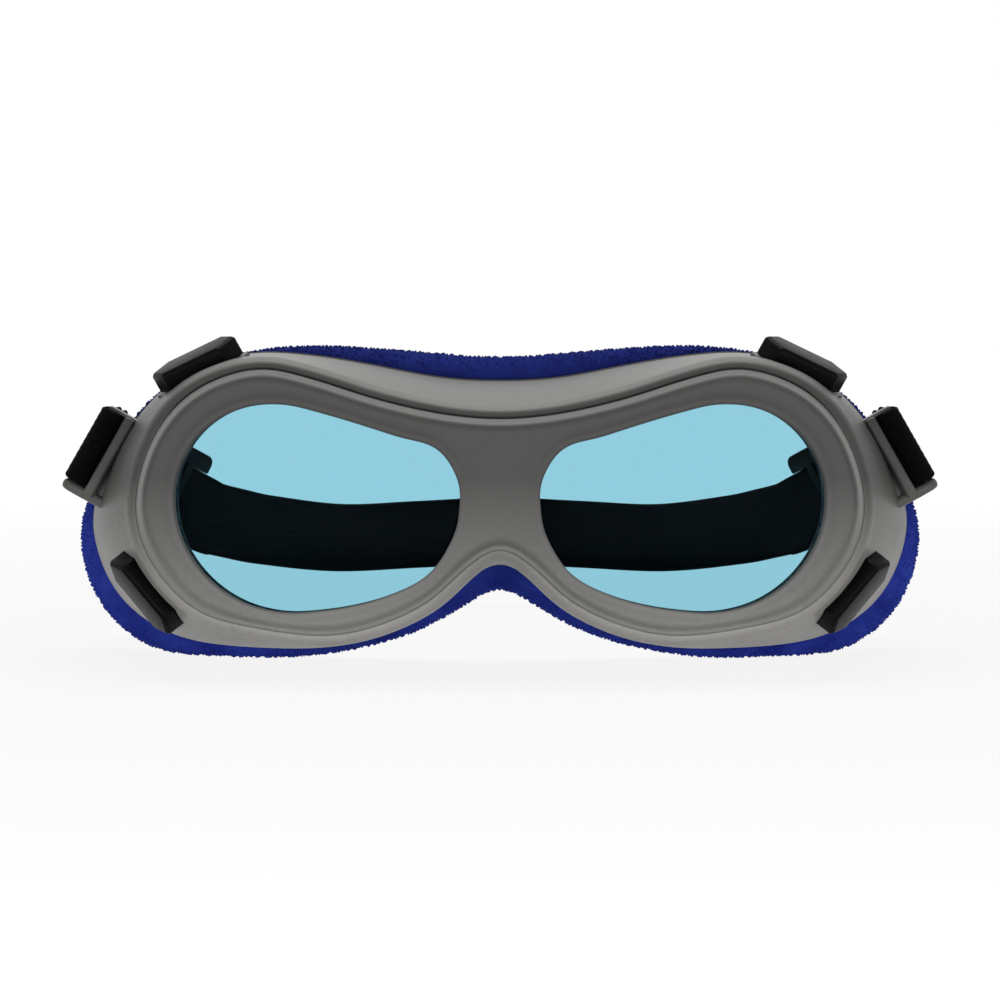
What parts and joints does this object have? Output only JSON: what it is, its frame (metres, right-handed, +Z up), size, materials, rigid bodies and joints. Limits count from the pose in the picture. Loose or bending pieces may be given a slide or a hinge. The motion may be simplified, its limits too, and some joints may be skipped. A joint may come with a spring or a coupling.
{
  "type": "laser safety goggles",
  "caption": "Laser safety goggles with two tinted filter windows in a vented moulded shell, a terry face cushion and an elastic headband with two sliders.",
  "frame": {"origin": "centre of the bounding box's underside: under the middle of the width and of the whole depth, at the height of the cushion's flat rest face", "axes": "+X across the face to the viewer's right as seen from the front, +Y back towards the wearer, +Z up"},
  "size_m": [0.1764, 0.1414, 0.0659],
  "materials": {
    "bezel_plastic": "matte moulded plate with a light bead",
    "shell_vinyl": "soft satin moulded grey",
    "filter_cyan": "clear pale cyan absorbing polycarbonate",
    "gasket_rubber": "matte",
    "retainer_plastic": "matte",
    "vent_plastic": "satin black",
    "carrier_plastic": "matte",
    "foam_grey": "open foam",
    "terry_blue": "looped terry cloth",
    "elastic_black": "ribbed woven elastic",
    "slider_plastic": "glossy black"
  },
  "bodies": {
    "goggle": {"front_bezel": "bezel_plastic", "body_shell": "shell_vinyl", "filter_left": "filter_cyan", "filter_right": "filter_cyan", "filter_gasket_left": "gasket_rubber", "filter_gasket_right": "gasket_rubber", "filter_retainer_left": "retainer_plastic", "filter_retainer_right": "retainer_plastic", "vent_cap_upper_left": "vent_plastic", "vent_cap_upper_right": "vent_plastic", "vent_cap_lower_left": "vent_plastic", "vent_cap_lower_right": "vent_plastic", "vent_baffle_upper_left": "vent_plastic", "vent_baffle_upper_right": "vent_plastic", "vent_baffle_lower_left": "vent_plastic", "vent_baffle_lower_right": "vent_plastic", "cushion_carrier": "carrier_plastic", "cushion_foam": "foam_grey", "cushion_cover": "terry_blue", "strap_loop_left": "elastic_black", "strap_loop_right": "elastic_black"},
    "headband": {"strap_band": "elastic_black", "strap_tail_left": "elastic_black", "strap_tail_right": "elastic_black"},
    "slider_left": {"strap_slider_left": "slider_plastic"},
    "slider_right": {"strap_slider_right": "slider_plastic"}
  },
  "joints": [
    {"name": "headband_swing", "type": "hinge", "parent": "goggle", "child": "headband", "pos_m": [0, -0.02668, 0.0437], "axis": [1, 0, 0], "range_deg": [-4, 30]},
    {"name": "slider_left_slide", "type": "slide", "parent": "headband", "child": "slider_left", "axis": [0.5302, 0.7603, -0.3752], "range_m": [-0.005, 0.005]},
    {"name": "slider_right_slide", "type": "slide", "parent": "headband", "child": "slider_right", "axis": [-0.5302, 0.7603, -0.3752], "range_m": [-0.005, 0.005]}
  ]
}
